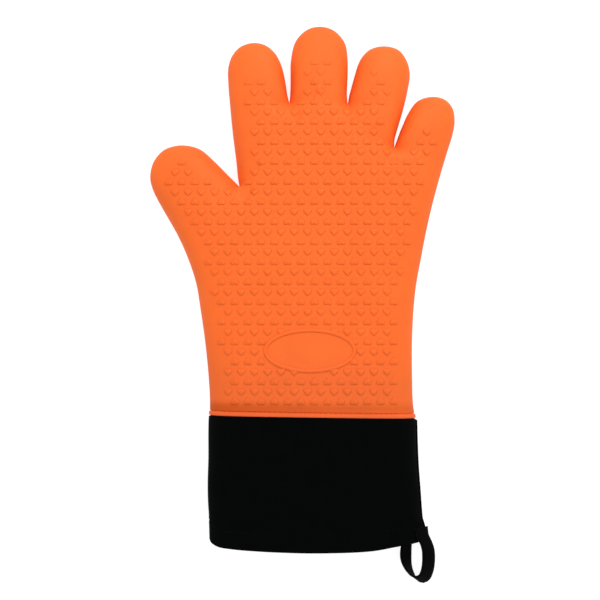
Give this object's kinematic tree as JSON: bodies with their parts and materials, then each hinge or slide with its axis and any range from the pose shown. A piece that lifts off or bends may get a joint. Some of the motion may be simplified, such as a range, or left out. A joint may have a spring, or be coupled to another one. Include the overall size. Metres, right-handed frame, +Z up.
{
  "type": "heat resistant glove",
  "caption": "Long five-finger moulded silicone oven and barbecue glove with raised heart grips, a padded cotton lining, a black cloth cuff and a tape hanging loop.",
  "frame": {"origin": "on the table under the middle of the whole glove, which lies on its palm side", "axes": "+X across the hand towards the little finger, +Y from the cuff to the fingertips, +Z up from the table out of the back of the hand"},
  "size_m": [0.2065, 0.3784, 0.0309],
  "materials": {
    "silicone": "matte moulded silicone, orange",
    "silicone_thread": "orange sewing thread",
    "wadding": "needled cotton wadding",
    "lining": "black cotton lining",
    "cuff_cloth": "black plain-weave cotton",
    "black_thread": "black sewing thread",
    "loop_tape": "black herringbone twill tape"
  },
  "bodies": {
    "hand": {"palm_shell": "silicone", "palm_wadding": "wadding", "palm_lining": "lining", "seam_tape": "loop_tape", "rim_stitching": "silicone_thread"},
    "thumb": {"thumb_shell": "silicone", "thumb_wadding": "wadding", "thumb_lining": "lining"},
    "index": {"index_shell": "silicone", "index_wadding": "wadding", "index_lining": "lining"},
    "middle": {"middle_shell": "silicone", "middle_wadding": "wadding", "middle_lining": "lining"},
    "ring": {"ring_shell": "silicone", "ring_wadding": "wadding", "ring_lining": "lining"},
    "little": {"little_shell": "silicone", "little_wadding": "wadding", "little_lining": "lining"},
    "cuff": {"cuff_cloth": "cuff_cloth", "cuff_wadding": "wadding", "cuff_lining": "lining", "cuff_hem": "cuff_cloth", "hem_stitching": "black_thread", "side_seam": "cuff_cloth", "loop_tab": "loop_tape", "loop_bartack": "black_thread"},
    "loop": {"hanging_loop": "loop_tape"}
  },
  "joints": [
    {"name": "thumb_flex", "type": "hinge", "parent": "hand", "child": "thumb", "pos_m": [-0.07254, 0.07533, 0], "axis": [-0.788, -0.6157, 0], "range_deg": [0, 60], "stiffness_Nm_per_rad": 0.12},
    {"name": "index_flex", "type": "hinge", "parent": "hand", "child": "index", "pos_m": [-0.02924, 0.14102, 0], "axis": [-0.994, -0.1097, 0], "range_deg": [0, 75], "stiffness_Nm_per_rad": 0.12},
    {"name": "middle_flex", "type": "hinge", "parent": "hand", "child": "middle", "pos_m": [0.0114, 0.1422, 0], "axis": [-1, 0, 0], "range_deg": [0, 75], "stiffness_Nm_per_rad": 0.12},
    {"name": "ring_flex", "type": "hinge", "parent": "hand", "child": "ring", "pos_m": [0.04967, 0.13454, 0], "axis": [-0.977, 0.213, 0], "range_deg": [0, 75], "stiffness_Nm_per_rad": 0.12},
    {"name": "little_flex", "type": "hinge", "parent": "hand", "child": "little", "pos_m": [0.08272, 0.11137, 0], "axis": [-0.9568, 0.2907, 0], "range_deg": [0, 75], "stiffness_Nm_per_rad": 0.12},
    {"name": "cuff_bend", "type": "hinge", "parent": "hand", "child": "cuff", "pos_m": [0.0065, -0.0774, 0.012], "axis": [-1, 0, 0], "range_deg": [-25, 25], "stiffness_Nm_per_rad": 0.3},
    {"name": "loop_swing", "type": "hinge", "parent": "cuff", "child": "loop", "pos_m": [0.0776, -0.1645, 0.011], "axis": [-0.7547, 0, 0.6561], "range_deg": [-35, 35]}
  ]
}
